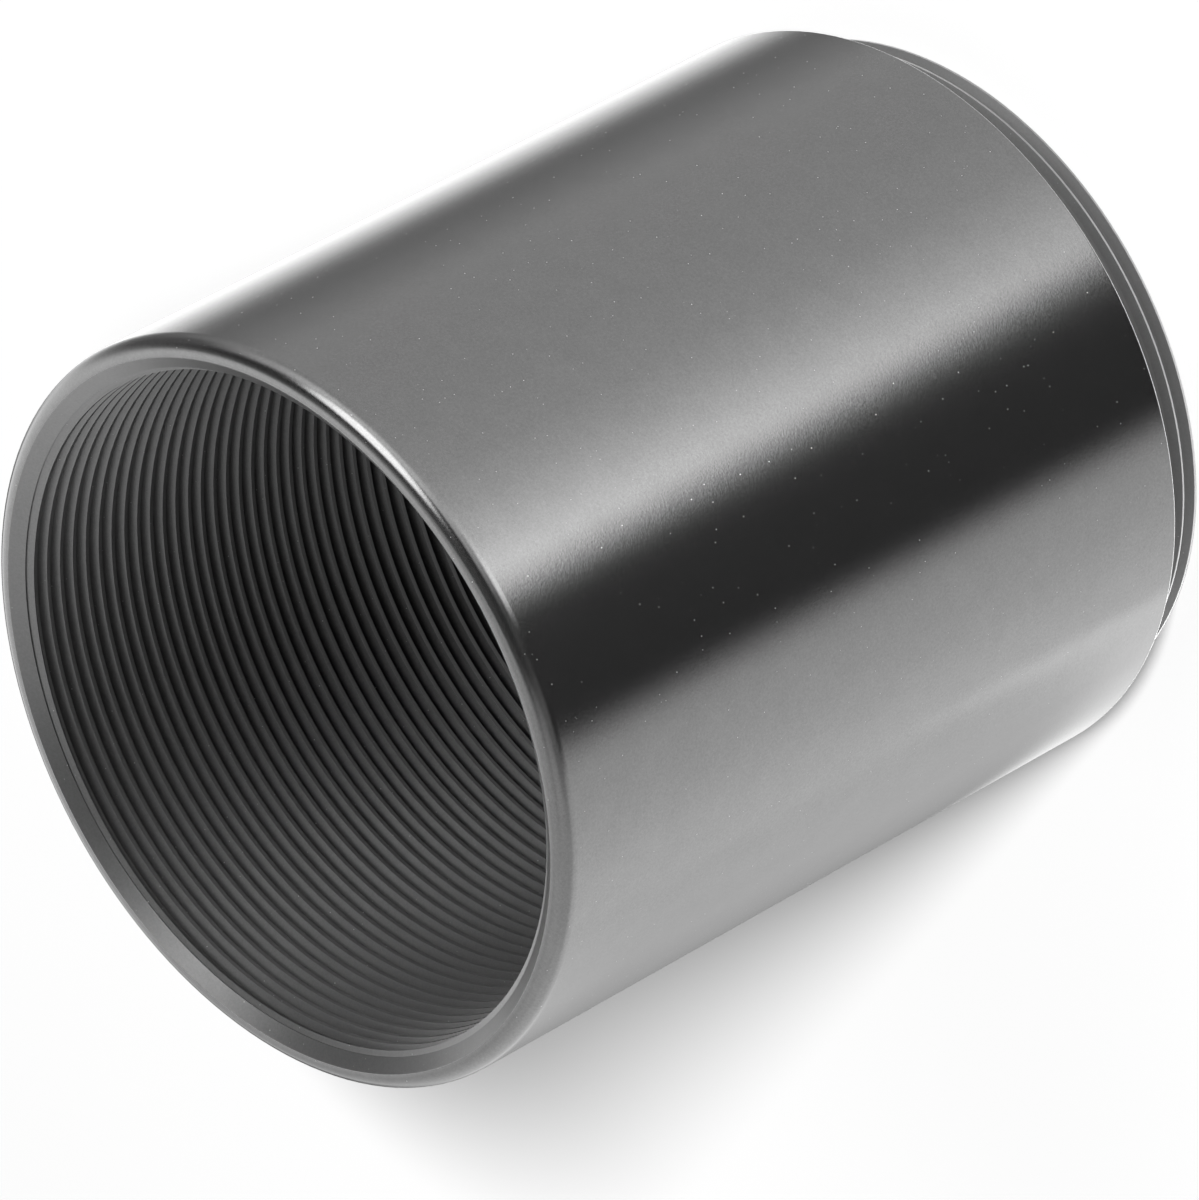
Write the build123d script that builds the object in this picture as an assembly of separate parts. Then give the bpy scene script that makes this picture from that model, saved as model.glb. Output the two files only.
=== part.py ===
from build123d import *
import os
from math import sqrt

# A lens tube, turned from one bar of aluminium. It stands on its male threaded end: the origin is the
# centre of that end's face, and +Z runs along the tube's axis to the open, internally threaded mouth.
# All sizes are in millimetres. The threads themselves are left off the solid: each is the cylinder of
# its crests, so the bore is at the female thread's minor diameter and the spigot at the male's major.

INCH = 25.4

# Standard thread shared by both ends, so that tubes stack: 1.035 inch, 40 turns to the inch, 60 degrees.
thread_major_d = 1.035 * INCH
thread_pitch = INCH / 40
spigot_allowance = 0.05  # how much smaller than nominal the male thread's crests are, on diameter

# Barrel
barrel_length = 31.3  # mouth's rim to shoulder
thread_wall = 1.08  # metal between the female thread's roots and the outside
rim_round_r = 0.6  # round on the outer edge of the mouth
shoulder_break = 0.1  # 45 degree edge break at the shoulder

# Mouth
lead_in_width = 0.49  # radial width of the countersink that guides a lens in
lead_in_depth = 0.37
entry_step = 0.21  # radial step of the short counterbore behind the countersink
entry_length = 0.07

# Far end of the bore
stop_length = 1.1  # how far the stop face stands inside the barrel, from the shoulder's plane
relief_width = 1.3  # run-out groove of the female thread, against the stop face
relief_clearance = 0.15  # groove's radius beyond the thread's roots
aperture_lip = 1.05  # radial width of the stop inside the bore
aperture_chamfer = 0.2

# Seats: each run-out groove is cut a little past its seat, so that a mating edge lies flat on it.
seat_undercut = 0.05
seat_clearance = 0.1  # from the thread's crests to the seat's edge

# Male threaded spigot
spigot_length = 2.55
spigot_relief_width = 0.6  # run-out groove of the male thread, against the shoulder
spigot_relief_clearance = 0.1  # groove's radius below the thread's roots
spigot_chamfer = 0.1

# Thread form: height of the sharp 60 degree triangle, and the standard truncated depths
triangle_height = sqrt(3) / 2 * thread_pitch
female_depth = 5 / 8 * triangle_height
male_depth = 17 / 24 * triangle_height

# Radii worked out from the sizes above
thread_major_r = thread_major_d / 2
bore_r = thread_major_r - female_depth
outer_r = thread_major_r + thread_wall
entry_r = bore_r + entry_step
mouth_r = entry_r + lead_in_width
relief_r = thread_major_r + relief_clearance
aperture_r = bore_r - aperture_lip
spigot_r = (thread_major_d - spigot_allowance) / 2
spigot_relief_r = spigot_r - male_depth - spigot_relief_clearance
stop_seat_r = bore_r - seat_clearance
shoulder_seat_r = spigot_r + seat_clearance

# Heights above the male end's face
shoulder_z = spigot_length
stop_z = shoulder_z + stop_length
relief_top_z = stop_z + relief_width
mouth_z = shoulder_z + barrel_length
lead_in_z = mouth_z - lead_in_depth
entry_z = lead_in_z - entry_length
spigot_relief_z = shoulder_z - spigot_relief_width

# The rim keeps a flat land inside its round, which a thin wall makes smaller.
land_share = 0.15
rim_r = min(rim_round_r, (1 - land_share) * (outer_r - mouth_r))


def bore_side():
    """Corners of the inside, from the mouth's rim down to the male end's face."""
    return [
        (mouth_r, mouth_z),
        (entry_r, lead_in_z),
        (entry_r, entry_z),
        (bore_r, entry_z),
        (bore_r, relief_top_z + relief_r - bore_r),
        (relief_r, relief_top_z),
        (relief_r, stop_z - seat_undercut),
        (stop_seat_r, stop_z - seat_undercut),
        (stop_seat_r, stop_z),
        (aperture_r, stop_z),
        (aperture_r, aperture_chamfer),
        (aperture_r + aperture_chamfer, 0),
    ]


def spigot_side():
    """Corners of the male end and the shoulder, from its face up to the barrel."""
    return [
        (spigot_r - spigot_chamfer, 0),
        (spigot_r, spigot_chamfer),
        (spigot_r, spigot_relief_z - spigot_r + spigot_relief_r),
        (spigot_relief_r, spigot_relief_z),
        (spigot_relief_r, shoulder_z + seat_undercut),
        (shoulder_seat_r, shoulder_z + seat_undercut),
        (shoulder_seat_r, shoulder_z),
        (outer_r - shoulder_break, shoulder_z),
        (outer_r, shoulder_z + shoulder_break),
    ]


def tube():
    """Half section of the tube, turned about Z, with the rim's round as a true arc."""
    round_start = (outer_r, mouth_z - rim_r)
    round_end = (outer_r - rim_r, mouth_z)
    with BuildPart() as part:
        with BuildSketch(Plane.XZ):
            with BuildLine():
                Polyline(round_end, *bore_side(), *spigot_side(), round_start)
                RadiusArc(round_start, round_end, -rim_r)
            make_face()
        revolve(axis=Axis.Z)
    return part.part


os.makedirs("parts", exist_ok=True)
export_step(tube(), "parts/lens_tube.step")
for name, value in (
    ("overall length", mouth_z),
    ("outer radius", outer_r),
    ("bore radius", bore_r),
    ("bore's thread from", relief_top_z + relief_r - bore_r),
    ("bore's thread to", entry_z),
    ("spigot radius", spigot_r),
    ("spigot's thread to", spigot_relief_z - spigot_r + spigot_relief_r),
    ("aperture radius", aperture_r),
):
    print(name, round(value, 4))
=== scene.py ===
import bpy
from math import cos, pi, radians, sin, sqrt, tan
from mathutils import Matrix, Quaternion, Vector


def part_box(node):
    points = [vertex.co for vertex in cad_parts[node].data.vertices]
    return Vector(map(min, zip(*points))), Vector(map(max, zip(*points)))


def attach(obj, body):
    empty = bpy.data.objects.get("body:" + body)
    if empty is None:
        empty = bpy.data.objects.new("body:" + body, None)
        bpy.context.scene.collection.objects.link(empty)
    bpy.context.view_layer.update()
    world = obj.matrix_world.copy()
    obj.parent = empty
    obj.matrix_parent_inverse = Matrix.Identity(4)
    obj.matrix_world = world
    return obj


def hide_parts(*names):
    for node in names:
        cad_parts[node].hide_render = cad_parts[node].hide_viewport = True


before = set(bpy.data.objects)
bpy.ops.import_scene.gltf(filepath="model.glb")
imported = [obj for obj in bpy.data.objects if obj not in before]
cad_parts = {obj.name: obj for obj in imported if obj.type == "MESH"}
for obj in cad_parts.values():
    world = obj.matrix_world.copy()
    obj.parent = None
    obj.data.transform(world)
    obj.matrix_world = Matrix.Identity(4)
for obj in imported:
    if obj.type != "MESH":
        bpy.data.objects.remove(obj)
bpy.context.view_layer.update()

# ---------------------------------------------------------------- camera
# A long lens looks down into the mouth from the front. The camera is rolled so far that the
# standing tube reaches across the picture, from its mouth at lower left to its male end at upper right.
camera_place = Vector((0, -0.324736, 0.271043))
camera_aim = Vector((-0.0016711, 0, 0.0186664))
camera_roll = radians(-118.0025)
sight = bpy.data.cameras.new("camera")
sight.lens, sight.sensor_width = 345.503, 36
sight.clip_start, sight.clip_end = 0.01, 50
camera = bpy.data.objects.new("camera", sight)
bpy.context.collection.objects.link(camera)
camera.rotation_mode = "QUATERNION"
camera.location = camera_place
upright_look = (camera_aim - camera_place).to_track_quat("-Z", "Y")
camera.rotation_quaternion = upright_look @ Quaternion((0, 0, 1), camera_roll)
bpy.context.scene.camera = camera
bpy.context.scene.view_settings.view_transform = "Standard"


# ---------------------------------------------------------------- studio
# A white room around the tube. The wall that the metal mirrors is brighter and darker by turns
# round the tube, as soft panels and black flags make it, and everything else is plain white.
class Wire:
    """A shader socket that reckons: an expression on wires adds its Math nodes."""

    def __init__(self, tree, socket=None):
        self.tree, self.socket = tree, socket

    def put(self, kind, settings=None, inputs=None, output=0):
        """Adds a node, with its settings first and then the values or links of its sockets."""
        node = self.tree.nodes.new(kind)
        for name, value in (settings or {}).items():
            if name == "stops":
                ramp = node.color_ramp
                while len(ramp.elements) < len(value):
                    ramp.elements.new(0.5)
                for element, (place, level) in zip(ramp.elements, value):
                    element.position = place
                for element, (place, level) in zip(ramp.elements, value):
                    element.color = (level, level, level, 1)
            else:
                setattr(node, name, value)
        for name, value in (inputs or {}).items():
            if isinstance(value, Wire):
                self.tree.links.new(value.socket, node.inputs[name])
            else:
                node.inputs[name].default_value = value
        return Wire(self.tree, node.outputs[output]) if len(node.outputs) else node

    def also(self, output):
        """Another output of the node that this wire comes from."""
        return Wire(self.tree, self.socket.node.outputs[output])

    def math(self, operation, *values):
        return self.put("ShaderNodeMath", {"operation": operation}, dict(enumerate(values)))

    def rising(self, start, end):
        """0 below start, 1 above end, and a smooth rise between."""
        return self.put("ShaderNodeMapRange", {"interpolation_type": "SMOOTHSTEP"},
                        {"Value": self, "From Min": start, "From Max": end, "To Min": 0.0, "To Max": 1.0})

    def towards(self, other, share):
        """This value at share 0, the other at share 1."""
        return self + (other - self) * share

    def __add__(self, other): return self.math("ADD", self, other)
    def __radd__(self, other): return self.math("ADD", other, self)
    def __sub__(self, other): return self.math("SUBTRACT", self, other)
    def __rsub__(self, other): return self.math("SUBTRACT", other, self)
    def __mul__(self, other): return self.math("MULTIPLY", self, other)
    def __rmul__(self, other): return self.math("MULTIPLY", other, self)
    def __truediv__(self, other): return self.math("DIVIDE", self, other)


room = bpy.data.worlds.new("room")
room.use_nodes = True
room.node_tree.nodes.clear()
room.cycles.sampling_method = "NONE"
bpy.context.scene.world = room
nodes = Wire(room.node_tree)
way = nodes.put("ShaderNodeTexCoord", output="Generated")
way_x = nodes.put("ShaderNodeSeparateXYZ", inputs={"Vector": way})
way_y, way_z = way_x.also("Y"), way_x.also("Z")
turn_share = nodes.math("ARCTAN2", way_y, way_x) / (2 * pi) + 0.5
turn = turn_share * 360 - 180
brightest = 6.0


def wall(levels):
    """How bright the room is at one height, as (degrees round from +X, strength) pairs joined by a ramp."""
    stops = [((degrees + 180) / 360, level / brightest) for degrees, level in levels]
    return nodes.put("ShaderNodeValToRGB", {"stops": stops}, {"Fac": turn_share}) * brightest


def heading(degrees_round, degrees_up):
    """The direction so far round from +X and so far up from the table."""
    turned_by, raised_by = radians(degrees_round), radians(degrees_up)
    return Vector((cos(raised_by) * cos(turned_by), cos(raised_by) * sin(turned_by), sin(raised_by)))


# The wall from the table up: what the barrel mirrors, then the rim's round, the countersink and the land.
table_wall = wall([
    (-180, 2.6), (-160, 2.2), (-148, 2.0), (-138, 1.6), (-130, 1.5), (-120, 5.6), (-82, 5.5), (-72, 3.5),
    (-62, 2.35), (-50, 1.75), (-30, 1.5), (-6, 1.35), (12, 1.2), (24, 0.75), (38, 0.4), (46, 0.5), (56, 1.35),
    (68, 1.85), (90, 1.4), (100, 0.8), (112, 1.05), (125, 1.75), (145, 2.3), (165, 2.45), (180, 2.6)])
eye_wall = wall([
    (-180, 1.7), (-158, 1.5), (-146, 1.2), (-134, 0.6), (-120, 0.45), (-108, 0.15), (-92, 0.3), (-80, 1.7),
    (-68, 2.2), (-50, 3.1), (-20, 3.2), (-8, 2.4), (8, 1.5), (22, 0.35), (42, 0.3), (50, 0.9), (58, 2.2),
    (68, 2.7), (82, 2.6), (92, 2.0), (98, 1.5), (108, 1.6), (125, 2.0), (145, 2.2), (165, 2.0), (180, 1.7)])
high_wall = wall([
    (-180, 1.6), (-150, 1.5), (-138, 1.2), (-126, 0.8), (-112, 0.08), (30, 0.1), (48, 0.5), (60, 2.0),
    (70, 2.6), (84, 2.6), (90, 2.1), (97, 1.5), (120, 1.8), (150, 1.8), (180, 1.6)])
ceiling = wall([
    (-180, 1.3), (-150, 0.9), (-124, 0.2), (10, 0.25), (50, 0.7), (70, 1.4), (110, 1.6), (150, 1.5),
    (180, 1.3)])

# A black flag stands in the brightest panel. Its right edge leans, so its mark on the barrel runs a
# little aslant, and the panels beside it and behind the tube fade towards the table.
barrel_slope = -0.6129
steeper = nodes.math("MINIMUM", nodes.math("MAXIMUM", barrel_slope - way_z, -0.03), 0.08)
flag_edge = -87.0 + steeper * 125
flag = turn.rising(-143.0, -129.0) * (1 - (turn - flag_edge).rising(-7.0, 4.0))
fading = (1 - turn.rising(-84.0, -58.0)) * turn.rising(-140.0, -128.0)
fading = fading + turn.rising(36.0, 50.0) * (1 - turn.rising(68.0, 80.0))
faded = nodes.math("MAXIMUM", steeper, 0.0) * fading
table_wall = table_wall * (1 - faded * 7.0) * (1 - flag * 0.99)
mirrored = table_wall.towards(eye_wall, way_z.rising(-0.3, 0.1))
mirrored = mirrored.towards(high_wall, way_z.rising(0.3, 0.6))
mirrored = mirrored.towards(ceiling, way_z.rising(0.75, 0.92))
# Straight down there is only plain paper.
mirrored = mirrored.towards(1.6, (way_z * -1).rising(0.71, 0.84))
# A small flag behind the tube, just above the table, darkens the far side of the countersink.
small_flag = turn.rising(60.0, 78.0) * (1 - turn.rising(104.0, 118.0))
small_flag = small_flag * way_z.rising(-0.57, -0.5) * (1 - way_z.rising(-0.16, 0.0))
mirrored = mirrored.towards(0.25, small_flag)
# The one lamp that shows: a round softbox high on the right.
facing = nodes.put("ShaderNodeVectorMath", {"operation": "DOT_PRODUCT"}, {0: way, 1: heading(-29, 41)},
                   output="Value")
mirrored = mirrored + 8.0 * facing.rising(cos(radians(25)), cos(radians(8)))
# The camera sees plain white, and matt surfaces are lit by the same walls at about half their strength.
room_level = 0.55
seen = nodes.put("ShaderNodeLightPath", output="Is Camera Ray")
glossy = seen.also("Is Glossy Ray")
strength = seen + (1 - seen) * mirrored * (glossy + (1 - glossy) * room_level)
background = nodes.put("ShaderNodeBackground", inputs={"Color": (1, 1, 1, 1), "Strength": strength})
nodes.put("ShaderNodeOutputWorld", inputs={"Surface": background})


# ---------------------------------------------------------------- table
# White paper under the tube, which keeps its soft shadow. What the polished metal mirrors close by, the
# shaded table beside it and the paper at the tube's foot, is painted as reflections on two glowing surfaces
# that only the metal sees.
def bare_material(name):
    """A material with no nodes yet, and the wire to put them on."""
    material = bpy.data.materials.new(name)
    material.use_nodes = True
    material.node_tree.nodes.clear()
    return material, Wire(material.node_tree)


bpy.ops.object.select_all(action="DESELECT")
bpy.ops.mesh.primitive_grid_add(x_subdivisions=8, y_subdivisions=8, size=6)
paper = bpy.context.object
paper.name = "paper"
paper.visible_glossy = False
white, nodes = bare_material("white_paper")
matt = nodes.put("ShaderNodeBsdfDiffuse", inputs={"Color": (0.2, 0.2, 0.2, 1)})
glow = nodes.put("ShaderNodeEmission", inputs={"Color": (1, 1, 1, 1), "Strength": 1.0})
seen = nodes.put("ShaderNodeLightPath", output="Is Camera Ray")
both = nodes.put("ShaderNodeMixShader", inputs={0: seen * 0.05, 1: matt, 2: glow})
nodes.put("ShaderNodeOutputMaterial", inputs={"Surface": both})
paper.data.materials.append(white)

# A lamp beside the camera lights the paper alone and casts the tube's shadow on it.
key_way = heading(-85, 40)
key = bpy.data.lights.new("key", "AREA")
key.shape = "ELLIPSE"
key.size, key.size_y = 0.5, 0.12
key.energy = 272.0
key_lamp = bpy.data.objects.new("key", key)
bpy.context.collection.objects.link(key_lamp)
key_lamp.location = key_way * 2
key_lamp.rotation_euler = key_way.to_track_quat("Z", "Y").to_euler()
key_lamp.visible_glossy = key_lamp.visible_camera = False
lit_alone = bpy.data.collections.new("lit_by_key")
lit_alone.objects.link(paper)
key_lamp.light_linking.receiver_collection = lit_alone

# A glowing sheet beside and behind the tube, which only the metal sees, paints there the reflection of the
# shaded table and keeps that side of the barrel from going white. It is darkest next to the tube, lighter low
# down, and fades out above what the barrel needs.
card_size, card_near_x, ramp_width = 0.16, -0.0125, 0.15
bpy.ops.object.select_all(action="DESELECT")
bpy.ops.mesh.primitive_grid_add(x_subdivisions=4, y_subdivisions=4, size=card_size, rotation=(pi / 2, 0, 0),
                                location=(card_near_x - card_size / 2, 0.025, -0.059))
card = bpy.context.object
card.name = "painted_shade_reflection"
bpy.ops.object.transform_apply(location=True, rotation=True)
card.visible_camera = card.visible_diffuse = card.visible_shadow = card.visible_transmission = False
grey, nodes = bare_material("painted_shade_reflection")
card_place = nodes.put("ShaderNodeTexCoord", output="Object")
card_x = nodes.put("ShaderNodeSeparateXYZ", inputs={"Vector": card_place})
card_z = card_x.also("Z")
low_down = (card_x * 0.7 - card_z).rising(-0.003, 0.004)
card_ramp = nodes.put("ShaderNodeValToRGB",
                      {"stops": [(0, 0.06), (0.06, 0.095), (0.2, 0.27), (0.36, 0.38), (0.9, 0.5)]},
                      {"Fac": (card_near_x - card_x) / ramp_width})
clear = nodes.math("MAXIMUM", (card_z - card_x * 0.7).rising(0.025, 0.045), card_x.rising(-0.0155, -0.0126))
# The painted shade in this reflection: how brightly the sheet glows at each place.
level = card_ramp * 5 + low_down * 0.9
glow = nodes.put("ShaderNodeEmission", inputs={"Color": (1, 1, 1, 1), "Strength": level})
both = nodes.put("ShaderNodeMixShader", inputs={0: clear, 1: glow, 2: nodes.put("ShaderNodeBsdfTransparent")})
nodes.put("ShaderNodeOutputMaterial", inputs={"Surface": both})
card.data.materials.append(grey)
grey.cycles.emission_sampling = "NONE"

# A glowing disc at the foot paints the paper there as the metal mirrors it: a painted reflection, dim under
# the bore, where its glow also lights the bore from below, and lit outside it.
bpy.ops.object.select_all(action="DESELECT")
bpy.ops.mesh.primitive_circle_add(vertices=96, radius=0.01445, fill_type="NGON", location=(0, 0, 0.00005))
spot = bpy.context.object
spot.name = "painted_foot_glow"
bpy.ops.object.transform_apply(location=True)
spot.visible_camera = spot.visible_shadow = spot.visible_transmission = False
lit, nodes = bare_material("painted_foot_glow")
spot_place = nodes.put("ShaderNodeTexCoord", output="Object")
spot_x = nodes.put("ShaderNodeSeparateXYZ", inputs={"Vector": spot_place})
spot_r = nodes.put("ShaderNodeVectorMath", {"operation": "LENGTH"}, {0: spot_place}, output="Value")
glossy = nodes.put("ShaderNodeLightPath", output="Is Glossy Ray")
outside = spot_r.rising(0.0117, 0.0125)
# Painted light: a dim glow under the bore and a bright painted reflection outside it, brighter towards -X.
level = 0.6 + outside * (6.0 - spot_x.rising(-0.004, 0.008) * 4.0)
glow = nodes.put("ShaderNodeEmission", inputs={"Color": (1, 1, 1, 1), "Strength": level})
both = nodes.put("ShaderNodeMixShader", inputs={
    0: outside * (1 - glossy), 1: glow, 2: nodes.put("ShaderNodeBsdfTransparent")})
nodes.put("ShaderNodeOutputMaterial", inputs={"Surface": both})
spot.data.materials.append(lit)
lit.cycles.emission_sampling = "NONE"


# ---------------------------------------------------------------- tube
# Turned from one bar of aluminium: barrel, countersunk mouth, a stop in the bore and the male end's
# spigot, all round one axis. The blank has metal left where the two threads will be cut.
mm = 0.001
low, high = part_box("lens_tube")
outer_r = high.x / mm
mouth_z = high.z / mm
around = 144
pitch = 25.4 / 40
sharp_height = sqrt(3) / 2 * pitch
major_r = 1.035 * 25.4 / 2
bore_r = major_r - 5 / 8 * sharp_height
spigot_r = major_r - 0.025
rim_round, shoulder_break = 0.6, 0.1
entry_r, entry_length, lead_in = bore_r + 0.21, 0.03, 0.1
countersink_width, countersink_depth = 0.49, 0.37
countersink_r = entry_r + countersink_width
stop_z, relief_top_z, relief_r, stop_seat_r = 3.65, 4.95, major_r + 0.15, bore_r - 0.1
aperture_r, aperture_break = bore_r - 1.05, 0.2
shoulder_z, spigot_relief_z = 2.55, 1.95
spigot_relief_r = spigot_r - 17 / 24 * sharp_height - 0.1
spigot_chamfer, collar_r = 0.1, spigot_r + 0.1
seat_cut = 0.05
bore_stock, spigot_stock = 0.2, 0.1


def turned(name, corners):
    """A closed ring of metal: a circle is drawn out from corner to corner of its section, then closed."""
    bpy.ops.object.select_all(action="DESELECT")
    radius, z = corners[0]
    bpy.ops.mesh.primitive_circle_add(vertices=around, radius=radius, location=(0, 0, z))
    ring = bpy.context.object
    ring.name = name
    bpy.ops.object.transform_apply(location=True)
    bpy.ops.object.mode_set(mode="EDIT")
    bpy.ops.mesh.select_all(action="SELECT")
    for next_radius, next_z in corners[1:]:
        bpy.ops.mesh.extrude_edges_move(TRANSFORM_OT_translate={"value": (0, 0, next_z - z)})
        share = next_radius / radius
        bpy.ops.transform.resize(value=(share, share, 1), center_override=(0, 0, 0))
        radius, z = next_radius, next_z
    bpy.ops.mesh.select_all(action="DESELECT")
    bpy.ops.mesh.select_non_manifold(extend=False)
    bpy.ops.mesh.bridge_edge_loops()
    bpy.ops.mesh.select_all(action="SELECT")
    bpy.ops.mesh.normals_make_consistent(inside=False)
    bpy.ops.object.mode_set(mode="OBJECT")
    return ring


def pick_edges(piece, radius, z):
    """Selects the ring of edges at a radius and a height, in edit mode."""
    bpy.ops.object.mode_set(mode="EDIT")
    bpy.ops.mesh.select_mode(type="EDGE")
    bpy.ops.mesh.select_all(action="DESELECT")
    bpy.ops.object.mode_set(mode="OBJECT")
    points = piece.data.vertices
    for edge in piece.data.edges:
        ends = [points[i].co for i in edge.vertices]
        edge.select = all(abs(p.xy.length - radius) < 0.002 and abs(p.z - z) < 0.002 for p in ends)
    bpy.ops.object.mode_set(mode="EDIT")


tube = turned("lens_tube_body", [
    (outer_r, mouth_z),
    (bore_r - bore_stock, mouth_z),
    (bore_r - bore_stock, relief_top_z + relief_r - bore_r + bore_stock),
    (relief_r, relief_top_z),
    (relief_r, stop_z - seat_cut),
    (stop_seat_r, stop_z - seat_cut),
    (stop_seat_r, stop_z),
    (aperture_r, stop_z),
    (aperture_r, aperture_break),
    (aperture_r + aperture_break, 0),
    (spigot_r - spigot_chamfer, 0),
    (spigot_r + spigot_stock, spigot_chamfer + spigot_stock),
    (spigot_r + spigot_stock, spigot_relief_z - spigot_r - spigot_stock + spigot_relief_r),
    (spigot_relief_r, spigot_relief_z),
    (spigot_relief_r, shoulder_z + seat_cut),
    (collar_r, shoulder_z + seat_cut),
    (collar_r, shoulder_z),
    (outer_r, shoulder_z),
])
pick_edges(tube, outer_r, mouth_z)
bpy.ops.mesh.bevel(offset=rim_round, offset_type="OFFSET", segments=10, profile=0.5)
pick_edges(tube, outer_r, shoulder_z)
bpy.ops.mesh.bevel(offset=shoulder_break, offset_type="OFFSET", segments=6, profile=0.5)
# A line just inside each rounded edge keeps its smooth shading off the barrel's straight side.
for height in (mouth_z - rim_round - 0.03, shoulder_z + shoulder_break + 0.02):
    bpy.ops.mesh.select_all(action="SELECT")
    bpy.ops.mesh.bisect(plane_co=(0, 0, height), plane_no=(0, 0, 1))
bpy.ops.object.mode_set(mode="OBJECT")


# ---------------------------------------------------------------- threads
# 1.035 inch, 40 turns to the inch, 60 degrees, right-hand, cut before the tube was anodised. The bore's
# thread runs from the countersink to the groove at the stop, the spigot's to the groove at the shoulder.
def pick(piece):
    """Selects one piece alone."""
    bpy.ops.object.select_all(action="DESELECT")
    bpy.context.view_layer.objects.active = piece
    piece.select_set(True)


def cut(piece, tool):
    """Takes a tool's whole volume out of a piece, and the tool away."""
    pick(piece)
    taking = piece.modifiers.new("cut", "BOOLEAN")
    taking.operation = "DIFFERENCE"
    taking.solver = "EXACT"
    taking.object = tool
    bpy.ops.object.modifier_apply(modifier=taking.name)
    bpy.data.objects.remove(tool)


def threaded_rod(name, corners, turns, bottom, top):
    """A threaded rod: one turn's corners are drawn, screwed up the axis, cut square and capped."""
    bpy.ops.object.select_all(action="DESELECT")
    radius, z = corners[0]
    bpy.ops.mesh.primitive_plane_add(size=0.01, location=(radius, 0, z))
    rod = bpy.context.object
    rod.name = name
    bpy.ops.object.transform_apply(location=True)
    bpy.ops.object.mode_set(mode="EDIT")
    bpy.ops.mesh.select_mode(type="VERT")
    bpy.ops.mesh.select_all(action="SELECT")
    bpy.ops.mesh.merge(type="CENTER")
    for next_radius, next_z in corners[1:]:
        step = (next_radius - radius, 0, next_z - z)
        bpy.ops.mesh.extrude_vertices_move(TRANSFORM_OT_translate={"value": step})
        radius, z = next_radius, next_z
    bpy.ops.object.mode_set(mode="OBJECT")
    screw = rod.modifiers.new("screw", "SCREW")
    screw.axis = "Z"
    screw.angle = 2 * pi
    screw.steps = screw.render_steps = around
    screw.screw_offset = pitch
    screw.iterations = turns
    screw.use_merge_vertices = False
    bpy.ops.object.modifier_apply(modifier=screw.name)
    bpy.ops.object.mode_set(mode="EDIT")
    bpy.ops.mesh.select_all(action="SELECT")
    bpy.ops.mesh.remove_doubles(threshold=0.0005)
    for height, side in ((bottom, -1), (top, 1)):
        bpy.ops.mesh.select_all(action="SELECT")
        bpy.ops.mesh.bisect(plane_co=(0, 0, height), plane_no=(0, 0, side), clear_outer=True,
                            threshold=0.00001)
        bpy.ops.mesh.edge_face_add()
    bpy.ops.mesh.select_all(action="SELECT")
    bpy.ops.mesh.normals_make_consistent(inside=False)
    bpy.ops.object.mode_set(mode="OBJECT")
    return rod


# The tap reaches from the groove at the stop to just past the countersink's foot.
flank = 5 / 8 * sharp_height * tan(radians(30))
bore_turns = 48
top_crest_z = 33.010
bore_start = top_crest_z - (bore_turns - 1) * pitch
tap = threaded_rod("tap", [
    (bore_r, bore_start),
    (bore_r, bore_start + pitch / 4),
    (major_r, bore_start + pitch / 4 + flank),
    (major_r, bore_start + pitch / 4 + flank + pitch / 8),
    (bore_r, bore_start + pitch),
], bore_turns, stop_z + 0.7, mouth_z - countersink_depth - entry_length + 0.02)
cut(tube, tap)

# The countersink's tool opens the mouth, with a short straight step and the lead-in cone behind it.
countersink = turned("countersink", [
    (bore_r - 1, mouth_z - countersink_depth - entry_length - lead_in),
    (bore_r, mouth_z - countersink_depth - entry_length - lead_in),
    (entry_r, mouth_z - countersink_depth - entry_length),
    (entry_r, mouth_z - countersink_depth),
    (countersink_r + countersink_width, mouth_z + countersink_depth),
    (bore_r - 1, mouth_z + countersink_depth),
])
cut(tube, countersink)

# The die is a ring that the spigot's own thread is cut out of, so that it takes only the grooves.
spigot_root_r = spigot_r - 17 / 24 * sharp_height
spigot_flank = 17 / 24 * sharp_height * tan(radians(30))
spigot_turns = 6
spigot_crest_z = 0.459
spigot_start = spigot_crest_z - 3 * pitch
pattern = threaded_rod("spigot_thread", [
    (spigot_r, spigot_start),
    (spigot_r, spigot_start + pitch / 8),
    (spigot_root_r, spigot_start + pitch / 8 + spigot_flank),
    (spigot_root_r, spigot_start + pitch - spigot_flank),
    (spigot_r, spigot_start + pitch),
], spigot_turns, -0.5, 2.3)
die = turned("die", [
    (spigot_root_r - 0.4, spigot_relief_z + 0.05),
    (spigot_r + 0.5, spigot_relief_z + 0.05),
    (spigot_r + 0.5, -0.3),
    (spigot_root_r - 0.4, -0.3),
])
cut(die, pattern)
cut(tube, die)

# The cuts leave needle-thin faces where one grazes an edge: these are closed up.
needle = 0.0003
pick(tube)
bpy.ops.object.mode_set(mode="EDIT")
bpy.ops.mesh.select_all(action="SELECT")
bpy.ops.mesh.remove_doubles(threshold=needle)
bpy.ops.mesh.dissolve_degenerate(threshold=needle)
bpy.ops.object.mode_set(mode="OBJECT")
tube.scale = (mm, mm, mm)
bpy.ops.object.transform_apply(scale=True)
bpy.ops.object.shade_smooth_by_angle(angle=radians(20))
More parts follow.
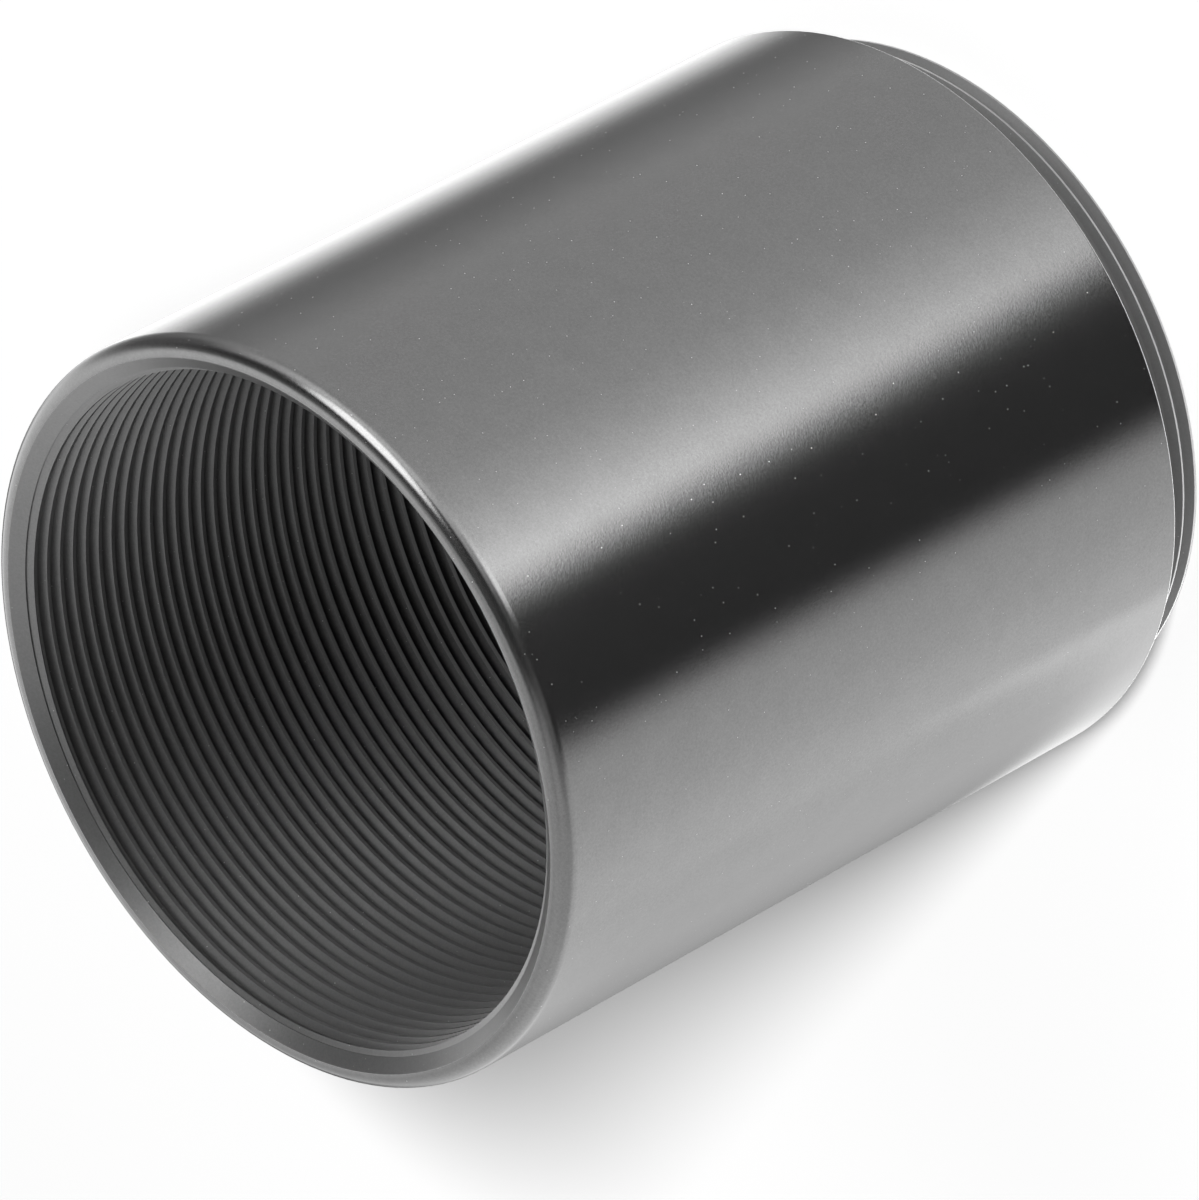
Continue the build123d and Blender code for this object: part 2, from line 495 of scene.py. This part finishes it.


# ---------------------------------------------------------------- finish
# Satin black anodising over fine turned metal: a smooth grey sheen on the barrel and rim, duller where the
# threads were cut, the spigot lighter and more matt, and the crests of the bore's thread painted lighter as a
# painted highlight, with a fine grain, faint clouds and a few specks of dust.
anodised, nodes = bare_material("anodised_aluminium")
place = nodes.put("ShaderNodeTexCoord", output="Object")
across = nodes.put("ShaderNodeVectorMath", {"operation": "MULTIPLY"}, {0: place, 1: (1, 1, 0)})
from_axis = nodes.put("ShaderNodeVectorMath", {"operation": "LENGTH"}, {0: across}, output="Value")
up = nodes.put("ShaderNodeSeparateXYZ", inputs={"Vector": place}).also("Z")
# The zones, by radius and height in metres.
bored = 1 - from_axis.rising(0.01351, 0.01357)
spigot = 1 - up.rising(0.00250, 0.00254)
in_thread = 1 - up.rising(0.03320, 0.03325)
cut_in = bored * in_thread
# The crests of the bore's thread get a painted highlight: lighter and less metallic, for light that would
# reach them from below.
crest_painted_highlight = (1 - from_axis.rising(0.012803, 0.012815)) * in_thread
# The grain, the clouds and the dust, a speck in some cells of a 0.3 mm net.
grain = nodes.put("ShaderNodeTexNoise", inputs={
    "Vector": place, "Scale": 10000.0, "Detail": 3.0, "Roughness": 0.8})
bump = nodes.put("ShaderNodeBump", inputs={"Strength": 0.19, "Distance": 0.00001, "Height": grain})
clouds = nodes.put("ShaderNodeTexNoise", inputs={
    "Vector": place, "Scale": 900.0, "Detail": 4.0, "Roughness": 0.6})
cell = nodes.put("ShaderNodeTexVoronoi", inputs={"Vector": place, "Scale": 3000.0}, output="Distance")
lot = nodes.put("ShaderNodeSeparateXYZ", inputs={"Vector": cell.also("Color")})
dust = (1 - cell.rising(0.035, 0.08)) * lot.rising(0.25, 1.0)
black = 0.125
# The crests are painted 0.03 lighter, a painted highlight, and the spigot is 0.07 lighter.
shade = black + (clouds - 0.5) * 0.02 + (grain - 0.5) * 0.07 + (crest_painted_highlight * 0.03 + spigot * 0.07)
shade = nodes.put("ShaderNodeCombineXYZ", inputs={0: shade, 1: shade, 2: shade})
dust_grey = (0.5, 0.5, 0.5, 1)
colour = nodes.put("ShaderNodeMix", {"data_type": "RGBA"}, {0: dust, 6: shade, 7: dust_grey}, output=2)
# Less metal on the crests brightens their painted highlight.
sheen = 0.875 - bored * 0.09 - cut_in * 0.08 - crest_painted_highlight * 0.16 - spigot * 0.52
metal = nodes.put("ShaderNodeBsdfPrincipled", inputs={
    "Base Color": colour,
    "Metallic": sheen * (1 - dust),
    "Roughness": 0.145 + (grain - 0.5) * 0.12 + (bored * 0.2 + cut_in * 0.06) + dust * 0.4,
    "Normal": bump})
nodes.put("ShaderNodeOutputMaterial", inputs={"Surface": metal})
tube.data.materials.clear()
tube.data.materials.append(anodised)

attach(tube, "root")
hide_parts("lens_tube")
